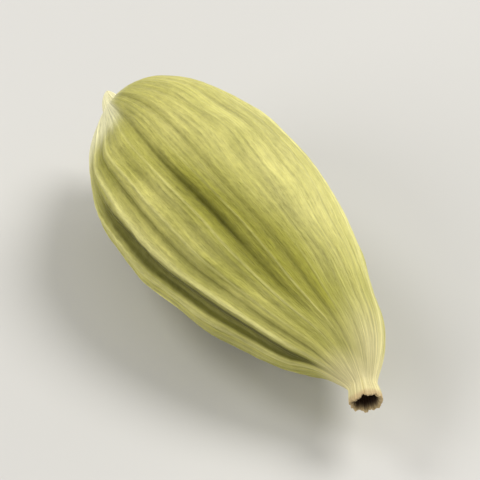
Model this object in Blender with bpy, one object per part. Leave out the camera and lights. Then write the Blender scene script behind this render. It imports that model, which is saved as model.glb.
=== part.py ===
"""Dried green cardamom pod, whole and closed, lying on its side.

One grown piece: a plump three-lobed husk with lengthwise ribs, the pointed remnant of the
fruit stalk at its broad end (-X), and at its tapering end (+X) the beak, whose flared rim is
where the dried flower broke off. Metres, +Z up, the origin under the pod's middle.
"""

import math

import bmesh
import bpy

MM = 0.001

# Driving sizes of the whole pod
POD_LENGTH = 18.6 * MM  # along its middle line
POD_RADIUS = 3.78 * MM

# Husk, between the stalk remnant and the beak
HUSK_START = -8.46 * MM
HUSK_END = 8.78 * MM
WIDEST_EXPONENT = 0.775  # puts the widest place at 0.41 of the husk's length
PLUMPNESS = 0.63  # below 1 the ends are blunter than a sine arch
BEAK_DROP = math.radians(2)  # the pod lies with its lighter end a little lower
JOIN_SHARPNESS = 3  # how closely the husk's ends run into the stalk remnant and the beak

# Stalk remnant and beak
STALK_LENGTH = 1.90 * MM
STALK_RADIUS = 0.90 * MM
STALK_POINT = 0.62  # below 1 its tip is rounder than a cone's
NECK_RADIUS = 0.54 * MM
RIM_RADIUS = 0.65 * MM
FLARE_LENGTH = 0.80 * MM
CUP_DEPTHS = (0.03 * MM, 0.22 * MM, 0.38 * MM, 0.42 * MM)  # the broken tube's hollow, rim inwards
CUP_SHARES = (0.70, 0.55, 0.32, 0.0)  # of the rim's radius

# The beak turns to one side of the husk's straight middle line, and the stalk leans away
TURN_ANGLE = math.radians(205)  # around the pod, where 0 is +Y and 90 degrees is up
BEAK_TURN = 0.95 * MM
BEAK_TURN_START = 6.2 * MM
STALK_TURN = -0.28 * MM
STALK_TURN_START = -8.2 * MM

# At the broad end the sections lean, so one shoulder stands out past the root of the stalk
SHOULDER_LEAN = 0.14
SHOULDER_LEAN_START = -3.5 * MM
SHOULDER_LEAN_END = -8.0 * MM

# There the skin on the upper face tapers towards the stalk instead
ROOT_ANGLE = math.radians(140)
ROOT_TAPER = 0.32  # share of the radius
ROOT_SHARPNESS = 6
ROOT_TAPER_START = -5.2 * MM
ROOT_TAPER_END = -8.2 * MM

# Three lobes, each over one chamber of seeds: where its seam runs, and how far it stands out
SEAM_ANGLES = tuple(math.radians(a) for a in (43, 171, 285))
LOBE_HEIGHTS = (0.155, 0.145, 0.055)  # shares of the radius; the pod lies on the flattest lobe
LOBE_SHARPNESS = 5
LOBE_BASE = 0.945

# The face between the two high lobes has sunk along one line as the pod dried
HOLLOW_ANGLE = math.radians(118)
HOLLOW_DEPTH = 0.05  # share of the radius
HOLLOW_SHARPNESS = 40

# Ribs from one seam to the next, with a furrow between each two
RIB_WIDTHS = (1.08, 1.08, 1.02, 1.14, 0.96, 0.84, 1.08)
FURROW_STRENGTHS = (0.30, 0.26, 0.45, 0.85, 0.34, 0.50)
SEAM_STRENGTHS = (0.45, 1.00, 0.50)
FURROW_DEPTH = 0.27 * MM  # at the husk's widest
FURROW_FADE = 1.5  # above 1 the furrows get shallower faster than the pod gets thinner
RIB_ROUNDNESS = 0.85
RIB_UNEVENNESS = 0.14
RIB_TWIST = math.radians(5)
RIB_WANDER = math.radians(0.8)
WANDER_SPACING = 7.5 * MM

# Seeds that press on the husk from inside, as a faint swell
SWELL = 0.05 * MM
SWELL_SPACING = 3.3 * MM

FLAT_DEPTH = 0.32 * MM  # how much of the underside is pressed flat where the pod lies

COLUMNS_PER_RIB = 4
OUTER_RINGS = 42


def clear_scene():
    for obj in list(bpy.data.objects):
        bpy.data.objects.remove(obj, do_unlink=True)


def smooth_share(value, low, high):
    """0 below low, 1 above high, and an even slope at both."""
    share = min(1.0, max(0.0, (value - low) / (high - low)))
    return share * share * (3 - 2 * share)


def husk_radius(x):
    share = (x - HUSK_START) / (HUSK_END - HUSK_START)
    if not 0 < share < 1:
        return 0.0
    return POD_RADIUS * math.sin(math.pi * share**WIDEST_EXPONENT) ** PLUMPNESS


def tip_radius(x):
    """Radius of the stalk remnant on the -X side, and of the beak on the +X side."""
    if x < 0:
        from_tip = min(1.0, max(0.0, (x + POD_LENGTH / 2) / STALK_LENGTH))
        return STALK_RADIUS * from_tip**STALK_POINT
    flare = smooth_share(x, POD_LENGTH / 2 - FLARE_LENGTH, POD_LENGTH / 2)
    return NECK_RADIUS + (RIM_RADIUS - NECK_RADIUS) * flare


def joined_radius(x):
    """The husk's radius and the tips' run into each other, without a corner."""
    husk, tip = husk_radius(x), tip_radius(x)
    return (husk**JOIN_SHARPNESS + tip**JOIN_SHARPNESS) ** (1 / JOIN_SHARPNESS)


def pod_profile():
    """(x, radius) of every ring, from the stalk's tip to the beak's rim and into its hollow."""
    rings = []
    for i in range(OUTER_RINGS + 1):
        x = -POD_LENGTH / 2 * math.cos(math.pi * i / OUTER_RINGS)
        rings.append((x, joined_radius(x)))
    for depth, share in zip(CUP_DEPTHS, CUP_SHARES):
        rings.append((POD_LENGTH / 2 - depth, RIM_RADIUS * share))
    return rings


def lobe_ribs(k):
    """(widths of the ribs, strengths of the furrows beside them) from seam k to the next."""
    uneven = [1 + RIB_UNEVENNESS * math.sin(5 * k * i) for i in range(1, len(RIB_WIDTHS) + 1)]
    widths = [width * share for width, share in zip(RIB_WIDTHS, uneven)]
    inner = [strength * share**2 for strength, share in zip(FURROW_STRENGTHS, uneven)]
    return widths, [SEAM_STRENGTHS[k], *inner, SEAM_STRENGTHS[(k + 1) % len(SEAM_ANGLES)]]


def rib_columns():
    """(angle, rise, furrow strength) of every column: rise is 0 in a furrow and 1 on a crest."""
    columns = []
    for k, angle in enumerate(SEAM_ANGLES):
        span = (SEAM_ANGLES[(k + 1) % len(SEAM_ANGLES)] - angle) % math.tau
        widths, strengths = lobe_ribs(k)
        for rib, width in enumerate(widths):
            turn = width * span / sum(widths)
            for step in range(COLUMNS_PER_RIB):
                across = step / COLUMNS_PER_RIB
                rise = math.sin(math.pi * across) ** RIB_ROUNDNESS
                strength = strengths[rib] if across < 0.5 else strengths[rib + 1]
                columns.append((angle + turn * across, rise, strength))
            angle += turn
    return columns


def lobe_share(angle):
    """The section's radius at this angle, as a share of the pod's."""
    bumps = (
        height * math.exp(LOBE_SHARPNESS * (math.cos(angle - seam) - 1))
        for seam, height in zip(SEAM_ANGLES, LOBE_HEIGHTS)
    )
    hollow = HOLLOW_DEPTH * math.exp(HOLLOW_SHARPNESS * (math.cos(angle - HOLLOW_ANGLE) - 1))
    return LOBE_BASE + sum(bumps) - hollow


def turn_of_tips(x):
    """How far the middle line has left the straight one at x, and its slope there."""
    if x > BEAK_TURN_START:
        turn, start, tip = BEAK_TURN, BEAK_TURN_START, POD_LENGTH / 2
    elif x < STALK_TURN_START:
        turn, start, tip = STALK_TURN, STALK_TURN_START, -POD_LENGTH / 2
    else:
        return 0.0, 0.0
    share = (x - start) / (tip - start)
    return turn * share**2, 2 * turn * share / (tip - start)


def root_taper(x, angle):
    around = math.exp(ROOT_SHARPNESS * (math.cos(angle - ROOT_ANGLE) - 1))
    return ROOT_TAPER * around * smooth_share(-x, -ROOT_TAPER_START, -ROOT_TAPER_END)


def skin_radius(x, radius, column):
    """Distance of the skin from the middle line: lobes, furrows and the swell of the seeds."""
    angle, rise, strength = column
    huskiness = (husk_radius(x) / joined_radius(x)) ** JOIN_SHARPNESS if radius > 0 else 0
    lobes = 1 + (lobe_share(angle) - root_taper(x, angle) - 1) * huskiness
    furrow = FURROW_DEPTH * strength * (1 - rise) * (radius / POD_RADIUS) ** FURROW_FADE
    wave = math.sin(math.tau * x / SWELL_SPACING + 2 * angle) * math.sin(3 * angle + 1)
    return radius * lobes - furrow + SWELL * wave * huskiness


def surface_point(x, radius, column):
    """One point of the skin, placed around the middle line and square to it."""
    out = skin_radius(x, radius, column)
    wander = RIB_WANDER * math.sin(math.tau * x / WANDER_SPACING + 5 * column[0])
    angle = column[0] + RIB_TWIST * x / POD_LENGTH + wander - TURN_ANGLE
    side, slope = turn_of_tips(x)
    tilt = math.hypot(1, slope)
    lean = SHOULDER_LEAN * smooth_share(-x, -SHOULDER_LEAN_START, -SHOULDER_LEAN_END)
    along = x + out * math.cos(angle) * (lean - slope / tilt)
    side += out * math.cos(angle) / tilt
    across = out * math.sin(angle)
    y = side * math.cos(TURN_ANGLE) - across * math.sin(TURN_ANGLE)
    z = side * math.sin(TURN_ANGLE) + across * math.cos(TURN_ANGLE)
    return along, y, z - x * math.tan(BEAK_DROP)


def shape_pod(bm, rings, columns):
    """Moves the points of a unit sphere, poles on Z, onto the pod's skin."""
    for vert in bm.verts:
        from_pole = math.pi - math.acos(max(-1.0, min(1.0, vert.co.z)))
        x, radius = rings[round(from_pole / math.pi * (len(rings) - 1))]
        around = round(math.atan2(vert.co.y, vert.co.x) / math.tau * len(columns))
        vert.co = surface_point(x, radius, columns[around % len(columns)])


def rest_on_flat_spot(bm):
    """Presses the underside flat, then puts the origin on it, under the middle of the pod."""
    floor = min(vert.co.z for vert in bm.verts) + FLAT_DEPTH
    for vert in bm.verts:
        vert.co.z = max(vert.co.z, floor)
    xs = [vert.co.x for vert in bm.verts]
    ys = [vert.co.y for vert in bm.verts]
    middle = ((min(xs) + max(xs)) / 2, (min(ys) + max(ys)) / 2, floor)
    bmesh.ops.translate(bm, verts=bm.verts, vec=[-place for place in middle])


def husk_material():
    material = bpy.data.materials.new("green_husk")
    material.use_nodes = True
    shader = material.node_tree.nodes["Principled BSDF"]
    shader.inputs["Base Color"].default_value = (0.43, 0.41, 0.13, 1)
    shader.inputs["Roughness"].default_value = 0.62
    shader.inputs["Metallic"].default_value = 0.0
    return material


def make_pod(collection):
    rings = pod_profile()
    columns = rib_columns()
    bm = bmesh.new()
    bmesh.ops.create_uvsphere(bm, u_segments=len(columns), v_segments=len(rings) - 1, radius=1)
    shape_pod(bm, rings, columns)
    rest_on_flat_spot(bm)
    mesh = bpy.data.meshes.new("pod")
    bm.to_mesh(mesh)
    bm.free()
    mesh.shade_smooth()
    mesh.materials.append(husk_material())
    collection.objects.link(bpy.data.objects.new("pod", mesh))


def main():
    clear_scene()
    collection = bpy.data.collections.new("cardamom_pod")
    bpy.context.scene.collection.children.link(collection)
    make_pod(collection)


main()
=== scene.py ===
import math
from types import SimpleNamespace

import bpy
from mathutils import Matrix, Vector


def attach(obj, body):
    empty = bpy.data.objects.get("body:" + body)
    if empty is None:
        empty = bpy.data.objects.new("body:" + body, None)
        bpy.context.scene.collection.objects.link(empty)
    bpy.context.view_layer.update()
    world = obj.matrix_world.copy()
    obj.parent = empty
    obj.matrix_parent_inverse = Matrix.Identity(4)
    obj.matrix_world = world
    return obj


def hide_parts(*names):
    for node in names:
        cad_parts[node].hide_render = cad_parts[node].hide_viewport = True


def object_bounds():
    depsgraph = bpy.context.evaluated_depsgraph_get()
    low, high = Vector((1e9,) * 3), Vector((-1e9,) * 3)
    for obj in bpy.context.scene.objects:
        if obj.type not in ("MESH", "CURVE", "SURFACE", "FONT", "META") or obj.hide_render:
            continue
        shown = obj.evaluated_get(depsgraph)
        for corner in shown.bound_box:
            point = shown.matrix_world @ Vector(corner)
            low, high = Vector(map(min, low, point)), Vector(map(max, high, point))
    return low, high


# A dried green cardamom pod lying on its side. The husk's own shape follows one rule: a profile
# along the pod, three lobes and twenty-one ribs around it. Geometry Nodes lay a fine grid on it.
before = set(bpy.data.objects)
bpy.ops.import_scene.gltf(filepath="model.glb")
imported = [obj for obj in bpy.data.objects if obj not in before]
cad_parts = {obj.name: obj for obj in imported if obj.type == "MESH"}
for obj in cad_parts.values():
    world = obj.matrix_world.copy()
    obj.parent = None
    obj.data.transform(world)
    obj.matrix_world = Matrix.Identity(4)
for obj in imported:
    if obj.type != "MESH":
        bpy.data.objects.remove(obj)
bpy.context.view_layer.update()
print("frame loaded")

mm = 0.001
noiseSpread = 2.6  # Blender's noise keeps near its middle; this spreads it over about -1 to 1
nearlyOne = 0.99999  # keeps a cosine inside the range of the arc cosine
mixSockets = {"factor": 0, "first": 6, "second": 7, "result": 2}  # of a Mix node for colours
stageCollection = bpy.context.scene.collection


class Term:
    # one socket of a node tree, used like a number: each operation on it adds its Math node
    def __init__(self, graph, socket):
        self.graph = graph
        self.socket = socket

    def output(self, name):
        return Term(self.graph, self.socket.node.outputs[name])

    def __add__(self, other):
        return self.graph.math("ADD", self, other)

    def __radd__(self, other):
        return self.graph.math("ADD", other, self)

    def __sub__(self, other):
        return self.graph.math("SUBTRACT", self, other)

    def __rsub__(self, other):
        return self.graph.math("SUBTRACT", other, self)

    def __mul__(self, other):
        return self.graph.math("MULTIPLY", self, other)

    def __rmul__(self, other):
        return self.graph.math("MULTIPLY", other, self)

    def __truediv__(self, other):
        return self.graph.math("DIVIDE", self, other)

    def __rtruediv__(self, other):
        return self.graph.math("DIVIDE", other, self)

    def __pow__(self, other):
        return self.graph.math("POWER", self, other)

    def __neg__(self):
        return self.graph.math("MULTIPLY", self, -1)


class Graph:
    # adds nodes to one tree, of a material or of geometry, and links them
    def __init__(self, tree):
        self.tree = tree

    def node(self, kind, settings=None, sockets=None, output=0):
        made = self.tree.nodes.new(kind)
        for name, value in (settings or {}).items():
            if name == "points":
                setCurvePoints(made.mapping, value)
            else:
                setattr(made, name, value)
        for name, value in (sockets or {}).items():
            if isinstance(value, Term):
                self.tree.links.new(value.socket, made.inputs[name])
            else:
                made.inputs[name].default_value = value
        return Term(self, made.outputs[output]) if made.outputs else None

    def math(self, operation, *values):
        return self.node("ShaderNodeMath", {"operation": operation}, dict(enumerate(values)))

    def vectorMath(self, operation, *values):
        return self.node("ShaderNodeVectorMath", {"operation": operation}, dict(enumerate(values)))

    def vector(self, x, y, z):
        return self.node("ShaderNodeCombineXYZ", {}, {0: x, 1: y, 2: z})

    def share(self, value, low, high):
        # 0 at low, 1 at high and smooth between, whichever of the two is larger
        settings = {"interpolation_type": "SMOOTHSTEP"}
        sockets = {"Value": value, "From Min": low, "From Max": high}
        return self.node("ShaderNodeMapRange", settings, sockets)

    def noise(self, vector, scale, detail, seed, roughness=0.5):
        # about -1 to 1
        settings = {"noise_dimensions": "4D"}
        sockets = {"Vector": vector, "W": seed, "Scale": scale}
        sockets.update({"Detail": detail, "Roughness": roughness})
        return (self.node("ShaderNodeTexNoise", settings, sockets) - 0.5) * noiseSpread

    def streaks(self, vector, stretch, scale, detail, seed, roughness=0.5):
        # noise that is this many times longer along the pod than around it
        squeezed = self.vectorMath("MULTIPLY", vector, (1 / stretch, 1, 1))
        return self.noise(squeezed, scale, detail, seed, roughness)

    def attribute(self, name, output="Fac"):
        return self.node("ShaderNodeAttribute", {"attribute_name": name}, {}, output)

    def mixColour(self, factor, first, second, blend="MIX"):
        settings = {"data_type": "RGBA", "blend_type": blend}
        values = {"factor": factor, "first": first, "second": second}
        sockets = {mixSockets[name]: value for name, value in values.items()}
        return self.node("ShaderNodeMix", settings, sockets, mixSockets["result"])


def setCurvePoints(mapping, points):
    line = mapping.curves[0]
    for spare in range(len(points) - len(line.points)):
        line.points.new(0.5, 0.5)  # anywhere, because the next lines place it
    for point, place in zip(line.points, points):
        point.location = place
        point.handle_type = "AUTO_CLAMPED"
    mapping.update()


def sine(term):
    return term.graph.math("SINE", term)


def cosine(term):
    return term.graph.math("COSINE", term)


def larger(term, other):
    return term.graph.math("MAXIMUM", term, other)


def smaller(term, other):
    return term.graph.math("MINIMUM", term, other)


def bell(term):
    # 1 at zero, and down to nothing at about two either way
    return term.graph.math("EXPONENT", -(term * term))


def arch(turn, sharpness):
    # the same around the pod: 1 where the turn is a whole one
    return turn.graph.math("EXPONENT", sharpness * (cosine(turn) - 1))


def turnFrom(angle, line):
    # how far around the pod an angle is from this line, either way
    return angle.graph.math("ARCCOSINE", cosine(angle - line) * nearlyOne)


def noLess(least, share):
    # a share that never falls below this least value
    return least + (1 - least) * share


husk = {
    # Named inputs of the tree, in metres, radians and shares. First the shape of the solid part.
    "inputs": {
        "podLength": 18.6 * mm,
        "podRadius": 3.78 * mm,
        "huskStart": -8.46 * mm,
        "huskEnd": 8.78 * mm,
        "widestExponent": 0.775,
        "plumpness": 0.63,
        "beakDrop": math.radians(2),
        "joinSharpness": 3.0,
        "stalkLength": 1.90 * mm,
        "stalkRadius": 0.90 * mm,
        "stalkPoint": 0.62,
        "neckRadius": 0.54 * mm,
        "rimRadius": 0.65 * mm,
        "flareLength": 0.80 * mm,
        "cupDepth": 0.75 * mm,
        "turnAngle": math.radians(205),
        "beakTurn": 0.95 * mm,
        "beakTurnStart": 6.2 * mm,
        "stalkTurn": -0.28 * mm,
        "stalkTurnStart": -8.2 * mm,
        "shoulderLean": 0.14,
        "rootAngle": math.radians(140),
        "rootTaper": 0.32,
        "rootSharpness": 6.0,
        "lobeSharpness": 5.0,
        "lobeBase": 0.945,
        "hollowAngle": math.radians(118),
        "hollowDepth": 0.05,
        "hollowSharpness": 40.0,
        "furrowDepth": 0.27 * mm,
        "furrowFade": 1.5,
        "ribRoundness": 0.85,
        "ribTwist": math.radians(5),
        "ribWander": math.radians(0.8),
        "wanderSpacing": 7.5 * mm,
        "wanderTurns": 5.0,
        "swell": 0.05 * mm,
        "swellSpacing": 3.3 * mm,
        "swellTurns": 2.0,
        "swellLobes": 3.0,  # swellings around the pod
        "swellOffset": 1.0,
        "flatDepth": 0.32 * mm,
        "flatEdge": 0.06 * mm,  # how softly the flat spot runs into the skin
        # the crease down the sunken face, and the broad shallow valley beside it
        "creaseLeast": 0.36,
        "creaseClears": 0.85,  # how far the crease's ends clear the furrow that it lies in
        "bandAngle": math.radians(97),
        "bandSharpness": 22.0,
        "bandDepth": 0.10 * mm,
        "bandSunk": 0.8,  # how much olive painted shade the valley gets
        "baseSunk": 0.38,  # how olive the skin is near the stalk, at the band's own angle
        "baseSpread": 0.5,  # sharpness there, as a share of the band's
        # the lobe that faces the key light, with painted light on it, and the raised rib along its
        # edge, with a painted highlight
        "bleachAngle": math.radians(58),
        "bleachSharpness": 5.0,
        "bleachBaseLeast": 0.15,
        "bleachBeakLeast": 0.30,
        "bleachVein": 0.5,  # how far its fine lines have worn down
        "edgeAngle": math.radians(35),
        "edgeSharpness": 220.0,
        "edgeHeight": 0.05 * mm,
        # how strong the painted highlight on that rib is
        "edgePale": 0.9,
        # uneven run of the ribs and depth of the furrows
        "ribWaver": math.radians(1.7),
        "waverSize": 5.72 * mm,
        "furrowVary": 0.5,
        "furrowVarySize": 3.6 * mm,
        "furrowVaryLeast": 0.15,
        # the fine raised line along the crest of each rib, and the fainter ones beside it
        "veinHeight": 0.060 * mm,
        "veinWidth": 0.10 * mm,
        "crestPlace": 0.5,
        "veinTaper": 0.7,
        "veinFade": 0.3,
        "veinFadeSize": 7.8 * mm,
        "sideVeinHeight": 0.034 * mm,
        "sideVeinPlace": 0.24,
        "otherVeinPlace": 0.77,
        "sideVeinFadeSize": 4.16 * mm,
        # the seams: more depth, a thin rib in the middle, and a pale ridge on each side
        "seamDepth": 0.14 * mm,
        "seamWidth": math.radians(5.6),
        "seamLeast": 0.15,
        "seamClears": 0.6,
        "seamRibWidth": math.radians(1.2),
        "seamRibHeight": 0.10 * mm,
        "seamRibOffset": 0.8,
        "seamRibFadeSize": 3.12 * mm,
        "seamSide": math.radians(10.5),
        "seamSideWidth": math.radians(1.9),
        "seamSideHeight": 0.07 * mm,
        # the skin's own relief
        "dentDepth": 0.07 * mm,
        "dentSize": 2.6 * mm,
        "wrinkleDepth": 0.042 * mm,
        "wrinkleSize": 0.65 * mm,
        "fibreDepth": 0.038 * mm,
        "fibreSize": 0.2 * mm,
        "crinkleDepth": 0.05 * mm,  # short folds, most of them across the furrows
        "crinkleSize": 0.42 * mm,
        "crinkleLeast": 0.22,
        "pimpleHeight": 0.030 * mm,
        "pimpleSize": 0.34 * mm,
        "pimpleLeast": 0.25,
        "pimplePatchSize": 5.72 * mm,
        # the two ends: how far from its tip each finish starts, and where it is full
        "neckFoldDepth": 0.06 * mm,
        "neckFoldSize": 0.45 * mm,
        "beakReach": 2.4 * mm,
        "beakFull": 0.5 * mm,
        "stalkReach": 1.9 * mm,
        "stalkFull": 0.4 * mm,
        "rimReach": 0.45 * mm,
        "rimTear": 0.16 * mm,  # how ragged the torn rim is
        "rimTearSize": 1.4 * mm,
        "shoulderSharpness": 3.0,
        "shoulderPale": 0.8,
        "paleAngle": math.radians(160),  # the pale side that runs down from the stalk remnant
        "paleWidth": math.radians(50),
        "fadedSeam": 0.7,  # how much of the furrows' painted shade is lifted off the first seam, which runs along the lit edge
        "fadedSharpness": 60.0,
        "seed": 7.0,
        # the grid
        "crowding": 0.5,  # of the rings towards the ends
        "ringsOutside": 188,
        "ringsInCup": 22,
        "columnsPerRib": 22,
        "mergeDistance": 1e-7,
    },
    # Places along the pod, in metres: nothing of the mark at the first, all of it at the second
    "spans": {
        "shoulderLean": (-3.5 * mm, -8.0 * mm),
        "rootTaper": (-5.2 * mm, -8.2 * mm),
        "creaseBase": (-4.5 * mm, 0.0),
        "creaseBeak": (6.8 * mm, 3.4 * mm),
        "sunkBase": (-8.2 * mm, -5.5 * mm),
        "bandBase": (-5.0 * mm, 4.5 * mm),
        "bandBeak": (8.0 * mm, 6.0 * mm),
        "baseStalk": (-8.8 * mm, -7.6 * mm),
        "baseBeak": (-2.5 * mm, -6.0 * mm),
        "litLobeBase": (-7.5 * mm, -2.5 * mm),
        "litLobeBeak": (6.5 * mm, 2.5 * mm),
        "seamBase": (-5.2 * mm, -0.8 * mm),
        "seamBeak": (8.2 * mm, 6.0 * mm),
        "pale": (-5.2 * mm, -8.4 * mm),
        "shoulder": (5.6 * mm, 8.2 * mm),
    },
    # The same for other values: a pattern's own, the pod's fullness, the way into the cup, and the
    # turn from the pale side in widths of it
    "ranges": {
        "sideVeinFade": (-0.5, 0.6),
        "seamRibFade": (-0.7, 0.4),
        "pimplePatch": (-0.35, 0.5),
        "fullness": (0.15, 0.6),
        "inCup": (0.75, 0.25),
        "paleTurn": (1.1, 0.6),
    },
    # Patterns: how many times longer along the pod, their detail, and their seed past the husk's
    "patterns": {
        "dent": (1.5, 1.5, 0),
        "wrinkle": (4.5, 2, 10),
        "fibre": (9, 2, 20),
        "crinkle": (0.8, 2, 30),
        "veinFade": (1, 1, 40),
        "sideVeinFade": (2, 1, 45),
        "neckFold": (5, 1, 50),
        "seamRibFade": (2.5, 1, 55),
        "waver": (1.4, 1, 60),
        "rimTear": (1, 3, 70),
        "furrowVary": (1.7, 1, 80),
        "pimple": (1.3, 1, 90),
        "pimplePatch": (1.5, 1, 95),
    },
    # Seams between the lobes, with the height of the lobe on each; then the ribs of one lobe
    "seamAngles": [math.radians(43), math.radians(171), math.radians(285)],
    "lobeHeights": [0.155, 0.145, 0.055],
    "seamStrengths": [0.45, 1.00, 0.50],
    "seamGrooves": [0.10, 1.00, 0.60],
    "ribWidths": [1.08, 1.08, 1.02, 1.14, 0.96, 0.84, 1.08],
    "furrowStrengths": [0.30, 0.26, 0.45, 0.85, 0.34, 0.50],
    "ribUnevenness": 0.14,
    "unevenPace": 5,
    # From the rim down into the cup: (share of the way, share of the radius or of the depth)
    "cupRadii": [(0, 1), (0.12, 0.97), (0.24, 0.86), (0.36, 0.77), (0.7, 0.62), (0.9, 0.3), (1, 0)],
    "cupDepths": [(0, 0), (0.12, 0.0), (0.24, 0.02), (0.36, 0.12), (0.7, 0.75), (0.9, 0.98), (1, 1)],
}


def ribPlanMesh():
    # one point for each furrow line, with its angle around the pod and its furrow's strength
    seams = husk["seamAngles"]
    pace = husk["unevenPace"]
    ribs = range(1, len(husk["ribWidths"]) + 1)
    angles = []
    strengths = []
    for k, seam in enumerate(seams):
        span = (seams[(k + 1) % len(seams)] - seam) % math.tau
        uneven = [1 + husk["ribUnevenness"] * math.sin(pace * k * i) for i in ribs]
        widths = [width * share for width, share in zip(husk["ribWidths"], uneven)]
        inner = [strength * share**2 for strength, share in zip(husk["furrowStrengths"], uneven)]
        strengths += [husk["seamStrengths"][k], *inner]
        angle = seam
        for width in widths:
            angles.append(angle)
            angle += width * span / sum(widths)
    angles.append(angles[0] + math.tau)
    strengths.append(strengths[0])
    mesh = bpy.data.meshes.new("ribPlan")
    mesh.from_pydata([(math.cos(a), math.sin(a), 0) for a in angles], [], [])
    for name, values in (("furrowAngle", angles), ("furrowStrength", strengths)):
        mesh.attributes.new(name, "FLOAT", "POINT").data.foreach_set("value", values)
    return mesh


def startTree(name, inputs):
    # a Geometry Nodes tree with one named input for each value
    tree = bpy.data.node_groups.new(name, "GeometryNodeTree")
    sockets = {"Geometry": "NodeSocketGeometry"}
    for label, value in inputs.items():
        sockets[label] = "NodeSocketInt" if isinstance(value, int) else "NodeSocketFloat"
    for label, kind in sockets.items():
        tree.interface.new_socket(name=label, in_out="INPUT", socket_type=kind)
    tree.interface.new_socket(name="Geometry", in_out="OUTPUT", socket_type="NodeSocketGeometry")
    graph = Graph(tree)
    source = graph.node("NodeGroupInput")
    return graph, source, SimpleNamespace(**{label: source.output(label) for label in inputs})


def endTree(graph, geometry, material):
    real = graph.node("GeometryNodeRealizeInstances", {}, {"Geometry": geometry})
    dressed = graph.node("GeometryNodeSetMaterial", {}, {"Geometry": real, "Material": material})
    graph.node("NodeGroupOutput", {}, {"Geometry": dressed})


def growPiece(name, startMesh, tree, inputs):
    # runs the tree once on a start mesh, and keeps the result as a plain mesh
    seedling = bpy.data.objects.new(name + "Seedling", startMesh)
    stageCollection.objects.link(seedling)
    modifier = seedling.modifiers.new(name, "NODES")
    modifier.node_group = tree
    for socket in tree.interface.items_tree:
        if socket.in_out == "INPUT" and socket.name in inputs:
            modifier[socket.identifier] = inputs[socket.name]
    bpy.context.view_layer.update()
    evaluated = seedling.evaluated_get(bpy.context.evaluated_depsgraph_get())
    mesh = bpy.data.meshes.new_from_object(evaluated)
    mesh.name = name
    bpy.data.objects.remove(seedling, do_unlink=True)
    piece = bpy.data.objects.new(name, mesh)
    stageCollection.objects.link(piece)
    return piece


def sampleRib(graph, plan, name, index):
    value = graph.node(
        "GeometryNodeInputNamedAttribute", {"data_type": "FLOAT"}, {"Name": name}, "Attribute"
    )
    sockets = {"Geometry": plan, "Value": value, "Index": index}
    return graph.node("GeometryNodeSampleIndex", {"data_type": "FLOAT"}, sockets)


def store(graph, geometry, name, value, kind="FLOAT"):
    sockets = {"Geometry": geometry, "Name": name, "Value": value}
    return graph.node("GeometryNodeStoreNamedAttribute", {"data_type": kind}, sockets)


def huskProfile(graph, s, x):
    # (radius, how much of it is husk and not stalk or beak) at x along the pod
    share = graph.node("ShaderNodeClamp", {}, {"Value": (x - s.huskStart) / (s.huskEnd - s.huskStart)})
    body = s.podRadius * larger(sine(math.pi * share**s.widestExponent), 0) ** s.plumpness
    half = s.podLength / 2
    fromTip = graph.node("ShaderNodeClamp", {}, {"Value": (x + half) / s.stalkLength})
    stalk = s.stalkRadius * fromTip**s.stalkPoint
    beak = s.neckRadius + (s.rimRadius - s.neckRadius) * graph.share(x, half - s.flareLength, half)
    isBeak = graph.math("GREATER_THAN", x, 0)
    tip = stalk + (beak - stalk) * isBeak
    joined = (body**s.joinSharpness + tip**s.joinSharpness) ** (1 / s.joinSharpness)
    return joined, (body / joined) ** s.joinSharpness


def tipTurn(s, x):
    # how far the middle line has left the straight one at x, and its slope there
    half = s.podLength / 2
    beakSpan = half - s.beakTurnStart
    stalkSpan = -half - s.stalkTurnStart
    beakShare = larger(x - s.beakTurnStart, 0) / beakSpan
    stalkShare = smaller(x - s.stalkTurnStart, 0) / stalkSpan
    side = s.beakTurn * beakShare * beakShare + s.stalkTurn * stalkShare * stalkShare
    slope = 2 * s.beakTurn * beakShare / beakSpan + 2 * s.stalkTurn * stalkShare / stalkSpan
    return side, slope


def lobeShare(s, angle):
    total = s.lobeBase
    for seam, height in zip(husk["seamAngles"], husk["lobeHeights"]):
        total = total + height * arch(angle - seam, s.lobeSharpness)
    return total - s.hollowDepth * arch(angle - s.hollowAngle, s.hollowSharpness)


def nearSeams(angle, offset, width):
    # 1 on the lines that run at this offset from a well marked seam
    total = 0
    for seam, groove in zip(husk["seamAngles"], husk["seamGrooves"]):
        total = total + groove * bell((turnFrom(angle, seam) - offset) / width)
    return total


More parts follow.
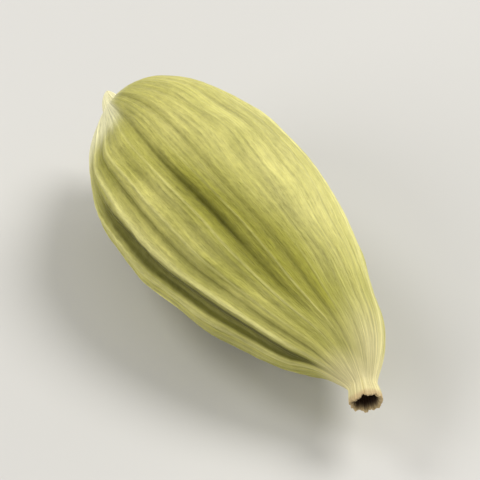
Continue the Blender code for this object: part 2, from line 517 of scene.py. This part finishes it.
def buildHuskTree(material):
    graph, plan, s = startTree("huskShape", husk["inputs"])
    ribCount = len(husk["ribWidths"]) * len(husk["seamAngles"])
    columns = s.columnsPerRib * ribCount
    rings = s.ringsOutside + s.ringsInCup
    gridSide = 1.0
    sockets = {"Size X": gridSide, "Size Y": gridSide}
    sockets.update({"Vertices X": columns + 1, "Vertices Y": rings + 1})
    grid = graph.node("GeometryNodeMeshGrid", {}, sockets)
    place = graph.node("ShaderNodeSeparateXYZ", {}, {0: graph.node("GeometryNodeInputPosition")})
    column = graph.math("ROUND", (place + gridSide / 2) * columns)
    ring = graph.math("ROUND", (place.output("Y") + gridSide / 2) * rings)

    # around the pod: which rib, and where on it; the last column is the first again
    halfColumn = 0.5  # keeps the rounding away from a rib's edge
    ribRun = graph.math("FLOOR", (column + halfColumn) / s.columnsPerRib)
    across = (column - ribRun * s.columnsPerRib) / s.columnsPerRib
    rib = graph.math("MODULO", ribRun, ribCount)
    ribStart = sampleRib(graph, plan, "furrowAngle", rib)
    ribEnd = sampleRib(graph, plan, "furrowAngle", rib + 1)
    beforeCrest = graph.math("LESS_THAN", across, s.crestPlace)
    strengthStart = sampleRib(graph, plan, "furrowStrength", rib)
    strengthEnd = sampleRib(graph, plan, "furrowStrength", rib + 1)
    strength = strengthEnd + (strengthStart - strengthEnd) * beforeCrest
    angle = ribStart + (ribEnd - ribStart) * across
    rise = larger(sine(math.pi * across), 0) ** s.ribRoundness

    # along the pod: rings crowd towards the ends; past the rim they run down into the cup
    half = s.podLength / 2
    outside = smaller(ring / s.ringsOutside, 1)
    inCup = larger(ring - s.ringsOutside, 0) / s.ringsInCup
    even = s.podLength * (outside - 0.5)
    crowded = -half * cosine(math.pi * outside)
    xOutside = (1 - s.crowding) * even + s.crowding * crowded
    radiusInCup = graph.node("ShaderNodeFloatCurve", {"points": husk["cupRadii"]}, {"Value": inCup})
    depthInCup = graph.node("ShaderNodeFloatCurve", {"points": husk["cupDepths"]}, {"Value": inCup})
    joined, huskiness = huskProfile(graph, s, xOutside)
    radius = joined * radiusInCup
    fullness = radius / s.podRadius

    # place for patterns, in millimetres: along, and around on a circle of the pod's girth
    ringSize = 3.8
    grain = graph.vector(xOutside / mm, cosine(angle) * ringSize, sine(angle) * ringSize)

    def relief(name):
        stretch, detail, seedOffset = husk["patterns"][name]
        size = getattr(s, name + "Size")
        return graph.streaks(grain, stretch, mm / size, detail, s.seed + seedOffset)

    def reach(name):
        # 1 where the husk's spans say that this mark is all there
        return graph.share(xOutside, *husk["spans"][name])

    def inRange(name, value):
        return graph.share(value, *husk["ranges"][name])

    # the ends
    beakShare = graph.share(xOutside, half - s.beakReach, half - s.beakFull)
    stalkShare = graph.share(xOutside, s.stalkReach - half, s.stalkFull - half)
    atRim = graph.share(xOutside, half - s.rimReach, half)
    shoulder = reach("shoulder") * arch(angle - s.bleachAngle, s.shoulderSharpness)
    paleTurn = turnFrom(angle, s.paleAngle) / s.paleWidth
    root = reach("pale") * inRange("paleTurn", paleTurn)

    # the lobe that faces the key light, with painted light on it; the crease; and olive painted shade
    # in the crease and valley
    # painted light: paler colour on the lobe that faces the key light, whose fine lines are also lower
    bleached = arch(angle - s.bleachAngle, s.bleachSharpness)
    veinLeft = 1 - s.bleachVein * bleached
    bleached = bleached * noLess(s.bleachBaseLeast, reach("litLobeBase"))
    bleached = bleached * noLess(s.bleachBeakLeast, reach("litLobeBeak"))
    edge = arch(angle - s.edgeAngle, s.edgeSharpness)
    crease = arch(angle - s.hollowAngle, s.hollowSharpness)
    creaseAlong = noLess(s.creaseLeast, reach("creaseBase")) * reach("creaseBeak")
    band = arch(angle - s.bandAngle, s.bandSharpness) * reach("bandBase") * reach("bandBeak")
    # painted shade: olive colour in the crease, in the broad valley beside it and near the stalk
    sunk = crease * creaseAlong * reach("sunkBase") + s.bandSunk * band
    nearBase = reach("baseStalk") * reach("baseBeak")
    sunk = sunk + s.baseSunk * nearBase * arch(angle - s.bandAngle, s.baseSpread * s.bandSharpness)

    # fine lines, furrows and seams
    ribWidth = (ribEnd - ribStart) * radius
    veinScale = ribWidth / (s.veinWidth * noLess(1 - s.veinTaper, fullness))
    vein = bell((across - s.crestPlace) * veinScale) * veinLeft
    vein = vein * (1 - s.veinFade + s.veinFade * relief("veinFade"))
    sideVeins = bell((across - s.sideVeinPlace) * veinScale)
    sideVeins = sideVeins + bell((across - s.otherVeinPlace) * veinScale)
    sideVeins = sideVeins * inRange("sideVeinFade", relief("sideVeinFade"))
    seamRun = reach("seamBase") * reach("seamBeak")
    seam = nearSeams(angle, 0, s.seamWidth)
    vary = larger(1 + s.furrowVary * relief("furrowVary"), s.furrowVaryLeast)
    furrow = strength * (1 - rise) * vary
    furrow = furrow * (1 - s.creaseClears * crease * (1 - creaseAlong))
    furrow = furrow * (1 - s.seamClears * seam * (1 - seamRun))
    seam = seam * noLess(s.seamLeast, seamRun)
    seamRib = nearSeams(angle, s.seamRibOffset * s.seamRibWidth, s.seamRibWidth)
    seamRib = seamRib * inRange("seamRibFade", relief("seamRibFade"))
    seamSide = nearSeams(angle, s.seamSide, s.seamSideWidth)

    # how far the skin stands out from the middle line
    taper = s.rootTaper * reach("rootTaper") * arch(angle - s.rootAngle, s.rootSharpness)
    lobes = 1 + (lobeShare(s, angle) - taper - 1) * huskiness
    wave = sine(math.tau * xOutside / s.swellSpacing + s.swellTurns * angle)
    wave = wave * sine(s.swellLobes * angle + s.swellOffset)
    depth = (s.furrowDepth * furrow + s.seamDepth * seam) * fullness**s.furrowFade
    out = radius * lobes - depth + s.swell * wave * huskiness
    raised = s.veinHeight * vein + s.sideVeinHeight * sideVeins + s.seamSideHeight * seamSide
    raised = raised + s.seamRibHeight * seamRib + s.edgeHeight * edge
    dent = relief("dent")
    out = out + huskiness * fullness * (s.dentDepth * dent + raised)
    skin = s.wrinkleDepth * relief("wrinkle") + s.fibreDepth * relief("fibre")
    out = out + fullness * (skin - s.bandDepth * band)
    pimpled = inRange("pimplePatch", relief("pimplePatch")) + s.pimpleLeast
    out = out + fullness * s.pimpleHeight * relief("pimple") * pimpled
    out = out + fullness * s.crinkleDepth * relief("crinkle") * (furrow + s.crinkleLeast)
    neckFold = relief("neckFold") * (beakShare + stalkShare) * (1 - huskiness)
    out = larger(out + s.neckFoldDepth * neckFold * smaller(radius / s.neckRadius, 1), 0)

    # where that puts each point
    waver = s.ribWaver * relief("waver") * huskiness
    wander = s.ribWander * sine(math.tau * xOutside / s.wanderSpacing + s.wanderTurns * angle)
    turned = angle + s.ribTwist * xOutside / s.podLength + wander + waver - s.turnAngle
    tear = s.rimTear * relief("rimTear") * atRim * inRange("inCup", inCup)
    x = xOutside - s.cupDepth * depthInCup + tear
    aside, slope = tipTurn(s, xOutside)
    tilt = (1 + slope * slope) ** 0.5
    lean = s.shoulderLean * reach("shoulderLean")
    along = x + out * cosine(turned) * (lean - slope / tilt)
    sideways = aside + out * cosine(turned) / tilt + slope * (x - xOutside)
    upright = out * sine(turned)
    y = sideways * cosine(s.turnAngle) - upright * sine(s.turnAngle)
    z = sideways * sine(s.turnAngle) + upright * cosine(s.turnAngle)
    point = graph.vector(along, y, z - x * graph.math("TANGENT", s.beakDrop))

    # what the material reads
    shown = huskiness * inRange("fullness", fullness)
    # painted light: less of the furrows' painted shade on the first seam, along the lit edge
    litSeamShade = 1 - s.fadedSeam * arch(angle - husk["seamAngles"][0], s.fadedSharpness)
    marks = {
        "furrow": furrow * huskiness * litSeamShade,
        "vein": vein * shown,
        "sideVein": sideVeins * shown,
        # the seams' pale ridges, and a painted highlight on the rib along the lit edge
        "pale": larger(seamSide, s.edgePale * edge),
        "seam": seam * shown,
        "seamRib": seamRib * shown,
        "sunk": sunk,
        "dent": dent,
        "bleached": bleached * shown,
        "rim": atRim,
        "fullness": smaller(fullness, 1),
        "root": root,
        "beak": larger(beakShare, s.shoulderPale * shoulder),
        "stalk": stalkShare,
        "cup": inCup,
    }
    mesh = store(graph, grid, "grain", grain, "FLOAT_VECTOR")
    for name, value in marks.items():
        mesh = store(graph, mesh, name, value)
    mesh = graph.node("GeometryNodeSetPosition", {}, {"Geometry": mesh, "Position": point})
    sockets = {"Geometry": mesh, "Distance": s.mergeDistance}
    mesh = graph.node("GeometryNodeMergeByDistance", {}, sockets)
    mesh = restOnFlatSpot(graph, s, mesh)
    mesh = graph.node("GeometryNodeSetShadeSmooth", {}, {"Geometry": mesh})
    endTree(graph, mesh, material)
    return graph.tree


def restOnFlatSpot(graph, s, mesh):
    # presses the underside flat, then puts the origin on it, under the middle of the pod
    low = graph.node("GeometryNodeBoundBox", {}, {"Geometry": mesh}, "Min")
    high = low.output("Max")
    lowParts = graph.node("ShaderNodeSeparateXYZ", {}, {0: low})
    highParts = graph.node("ShaderNodeSeparateXYZ", {}, {0: high})
    floorHeight = lowParts.output("Z") + s.flatDepth
    middleX = (lowParts.output("X") + highParts.output("X")) / 2
    middleY = (lowParts.output("Y") + highParts.output("Y")) / 2
    place = graph.node("ShaderNodeSeparateXYZ", {}, {0: graph.node("GeometryNodeInputPosition")})
    z = graph.math("SMOOTH_MAX", place.output("Z") - floorHeight, 0, s.flatEdge)
    rested = graph.vector(place.output("X") - middleX, place.output("Y") - middleY, z)
    return graph.node("GeometryNodeSetPosition", {}, {"Geometry": mesh, "Position": rested})


dryHuskLook = {
    "green": (0.330, 0.322, 0.046, 1),
    "straw": (0.645, 0.600, 0.204, 1),
    # painted light for the lobe that faces the key light
    "bleached": (0.800, 0.760, 0.320, 1),
    # Layers over those, from the first to the last: linear colour, and the most that it covers
    "layers": {
        # painted shade, olive, in the crease and the valley
        "sunk": ((0.244, 0.238, 0.012, 1), 0.80),
        "ridge": ((0.800, 0.760, 0.320, 1), 1.0),
        # painted shade, dark olive, in the furrows and seams
        "furrow": ((0.096, 0.094, 0.002, 1), 0.92),
        "root": ((0.880, 0.850, 0.560, 1), 0.80),
        "beak": ((0.770, 0.690, 0.400, 1), 0.85),
        "stalk": ((0.850, 0.810, 0.540, 1), 0.90),
    },
    # and these over the tone of the fibres
    "topLayers": {
        "fleck": ((0.170, 0.090, 0.028, 1), 0.5),
        "rim": ((0.480, 0.310, 0.160, 1), 0.65),
        # painted shade: near-black inside the cup, over the inner husk's own brown
        "cup": ((0.045, 0.022, 0.010, 1), 1.0),
    },
    # Where each begins and is full, and how far the fine streaks move that edge
    "edges": {
        "ripe": (0.0, 1.0, 0),
        "sunk": (0.0, 1.0, 0.12),
        "ridge": (0.30, 1.0, 0),
        "furrow": (0.08, 0.84, 0.10),
        "root": (0.1, 0.8, 0.15),
        "fleck": (0.66, 0.92, 0),
        "rim": (0.25, 1.0, 0.15),
        "cup": (0.2, 0.5, 0),
    },
    # Streaks: how many times longer along the pod, how many to a millimetre, detail and seed
    "streaks": {
        "broad": (1.8, 0.38, 3, 3),
        "fine": (22, 2.8, 3, 11),
        "finest": (22, 8, 3, 17),
        "grit": (2.5, 6, 3, 23),
        "fleck": (1.5, 2.4, 2, 29),
        "pore": (4, 14, 2, 41),
    },
    "streakRoughness": 0.6,
    # How much of each makes the sum that its name says
    "ripe": {"base": 0.44, "broad": 0.55, "dent": 0.22, "bleached": 0.16, "along": -0.010},
    "ridge": {"vein": 1, "sideVein": 0.5, "finest": 0.15},
    "paleSide": {"base": 0.62, "fine": 0.4},
    "shade": {"furrow": 1, "seam": 0.9},
    "flecks": {"fleck": 1, "grit": 0.35},
    "tone": {"base": 1, "fine": 0.36, "finest": 0.36, "grit": 0.22},
    "roughness": {"base": 0.60, "ridgeShare": -0.10, "shadeShare": 0.14, "fine": 0.10},
    "height": {"finest": 0.6, "grit": 0.7, "pore": 0.45},
    "litLobeCover": 0.28,
    "ridgeCover": 0.55,
    "seamRibClears": 0.45,  # of the furrows' painted shade
    # painted shade along the seams, over that of the furrows
    "seamPaintedShade": 0.3,
    "toneWarmth": 0.97,
    "bumpDistance": 0.06 * mm,
    "bumpStrength": 1.0,
    "specular": 0.28,
    "sheen": 0.06,
    "sheenRoughness": 0.5,
}


def startMaterial(name):
    material = bpy.data.materials.new(name)
    material.use_nodes = True
    material.node_tree.nodes.clear()
    return material, Graph(material.node_tree)


def endMaterial(graph, sockets):
    shader = graph.node("ShaderNodeBsdfPrincipled", {}, sockets)
    graph.node("ShaderNodeOutputMaterial", {}, {"Surface": shader})


def dryHusk():
    # papery husk: straw on the ribs, olive painted shade in the hollows, dark olive painted shade in
    # the furrows, and painted light on the lobe that faces the key light
    look = dryHuskLook
    material, graph = startMaterial("dryHusk")
    grain = graph.attribute("grain", "Vector")
    names = ["furrow", "vein", "sideVein", "pale", "seam", "seamRib", "sunk", "dent", "bleached"]
    names += ["rim", "fullness", "root", "beak", "stalk", "cup"]
    marks = {name: graph.attribute(name) for name in names}
    marks["along"] = graph.node("ShaderNodeSeparateXYZ", {}, {0: grain})
    for name, (stretch, scale, detail, seed) in look["streaks"].items():
        roughness = look["streakRoughness"]
        marks[name] = graph.streaks(grain, stretch, scale, detail, seed, roughness)

    def blended(recipe):
        # the sum of the marks that the recipe names, each times its weight
        total = look[recipe].get("base", 0)
        for name, weight in look[recipe].items():
            if name != "base":
                total = total + weight * marks[name]
        return total

    def edged(name, amount):
        start, full, ragged = look["edges"][name]
        return graph.share(amount + ragged * marks["fine"], start, full)

    def lay(layers, colour, name, amount):
        layerColour, cover = look[layers][name]
        return graph.mixColour(amount * cover, colour, layerColour)

    ripe = edged("ripe", blended("ripe"))
    colour = graph.mixColour(ripe, look["green"], look["straw"])
    # painted light on the lobe that faces the key light
    colour = graph.mixColour(marks["bleached"] * look["litLobeCover"], colour, look["bleached"])
    ridge = edged("ridge", blended("ridge"))
    # painted shade in the furrows and seams, kept off the thin rib in each seam
    shade = edged("furrow", blended("shade")) * (1 - look["seamRibClears"] * marks["seamRib"])
    paleness = larger(ridge * look["ridgeCover"], marks["pale"] * blended("paleSide"))
    amounts = {"sunk": edged("sunk", marks["sunk"]), "ridge": paleness, "furrow": shade}
    amounts.update({"root": edged("root", marks["root"])})
    amounts.update({"beak": marks["beak"], "stalk": marks["stalk"]})
    for name, amount in amounts.items():
        colour = lay("layers", colour, name, amount)
    # the fibres' tone, with painted shade along the seams
    tone = blended("tone") * (1 - look["seamPaintedShade"] * marks["seam"])
    toneColour = graph.vector(tone, tone, tone * look["toneWarmth"])
    colour = graph.mixColour(1.0, colour, toneColour, "MULTIPLY")
    amounts = {"fleck": edged("fleck", blended("flecks"))}
    amounts.update({"rim": edged("rim", marks["rim"]), "cup": edged("cup", marks["cup"])})
    for name, amount in amounts.items():
        colour = lay("topLayers", colour, name, amount)

    marks.update({"ridgeShare": ridge, "shadeShare": shade})
    height = blended("height") * marks["fullness"]
    sockets = {"Strength": look["bumpStrength"], "Distance": look["bumpDistance"], "Height": height}
    bump = graph.node("ShaderNodeBump", {}, sockets)
    sockets = {"Base Color": colour, "Roughness": blended("roughness"), "Normal": bump}
    sockets.update({"Specular IOR Level": look["specular"]})
    sockets.update({"Sheen Weight": look["sheen"], "Sheen Roughness": look["sheenRoughness"]})
    endMaterial(graph, sockets)
    return material


def buildHusk():
    piece = growPiece("husk", ribPlanMesh(), buildHuskTree(dryHusk()), husk["inputs"])
    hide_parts("pod")
    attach(piece, "root")
    print("husk:", len(piece.data.vertices), "points,", len(piece.data.polygons), "faces")
    return piece


# Floor, lights and camera, in metres, degrees and watts
shot = {
    "azimuth": 53.5,  # as the pod lies to the viewer
    "elevation": 47.0,
    "frameWidth": 18.8 * mm,
    "distance": 0.30,  # about as far as the photograph was taken from
    "clipStart": 0.01,
    "floorSize": 3.0,
    "floorTone": 0.60,
    "floorGrain": 0.012,
    "floorGrainNoise": (60, 3, 5),  # scale, detail and seed
    "floorTint": (1, 0.995, 0.98),
    "floorRoughness": 0.8,
    "roomTint": (1.0, 0.98, 0.93, 1),
    "roomStrength": 0.38,
    # direction as (right, up, back) in the image, distance, size, power and tint
    "lights": {
        "keyLight": ((0.58, 0.85, 0.48), 0.48, 0.24, 1.500, (1.0, 0.98, 0.94)),
        "backLight": ((-0.65, 0.80, 0.38), 0.48, 0.18, 0.560, (1.0, 0.99, 0.96)),
        "fillLight": ((-0.9, 0.1, 0.7), 0.54, 0.36, 1.000, (1.0, 0.98, 0.93)),
        "edgeLight": ((1.0, 0.35, -0.12), 0.48, 0.15, 0.800, (1.0, 0.99, 0.95)),
    },
}


def viewAxes():
    # the image's right and up, and the direction back to the camera
    azimuth = math.radians(shot["azimuth"])
    elevation = math.radians(shot["elevation"])
    flat = math.cos(elevation)
    back = Vector((math.sin(azimuth) * flat, -math.cos(azimuth) * flat, math.sin(elevation)))
    right = Vector((math.cos(azimuth), math.sin(azimuth), 0))
    return right, back.cross(right), back


def placeCamera(target):
    right, up, back = viewAxes()
    data = bpy.data.cameras.new("photoView")
    data.lens = shot["distance"] * data.sensor_width / shot["frameWidth"]
    data.clip_start = shot["clipStart"]
    camera = bpy.data.objects.new("photoView", data)
    camera.location = target + back * shot["distance"]
    camera.rotation_euler = back.to_track_quat("Z", "Y").to_euler()
    stageCollection.objects.link(camera)
    bpy.context.scene.camera = camera


def placeLight(name, target, direction, distance, size, power, tint):
    offset = sum((axis * share for axis, share in zip(viewAxes(), direction)), Vector())
    data = bpy.data.lights.new(name, "AREA")
    data.shape = "DISK"
    data.size = size
    data.energy = power
    data.color = tint
    light = bpy.data.objects.new(name, data)
    light.location = target + offset.normalized() * distance
    light.rotation_euler = offset.to_track_quat("Z", "Y").to_euler()
    stageCollection.objects.link(light)


def paleFloorFinish():
    material, graph = startMaterial("paleFloor")
    place = graph.node("ShaderNodeTexCoord", {}, {}, "Object")
    tone = shot["floorTone"] + shot["floorGrain"] * graph.noise(place, *shot["floorGrainNoise"])
    colour = graph.vector(*[tone * share for share in shot["floorTint"]])
    endMaterial(graph, {"Base Color": colour, "Roughness": shot["floorRoughness"]})
    return material


def buildStage(target):
    mesh = bpy.data.meshes.new("floor")
    half = shot["floorSize"] / 2
    corners = [(-half, -half, 0), (half, -half, 0), (half, half, 0), (-half, half, 0)]
    mesh.from_pydata(corners, [], [(0, 1, 2, 3)])
    mesh.materials.append(paleFloorFinish())
    floor = bpy.data.objects.new("floor", mesh)
    stageCollection.objects.link(floor)
    for name, light in shot["lights"].items():
        placeLight(name, target, *light)
    world = bpy.data.worlds.new("paleRoom")
    world.use_nodes = True
    world.node_tree.nodes["Background"].inputs["Color"].default_value = shot["roomTint"]
    world.node_tree.nodes["Background"].inputs["Strength"].default_value = shot["roomStrength"]
    bpy.context.scene.world = world
    bpy.context.scene.view_settings.view_transform = "Standard"


def main():
    buildHusk()
    low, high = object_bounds()
    target = (low + high) / 2
    buildStage(target)
    placeCamera(target)
    print("stage set")


main()
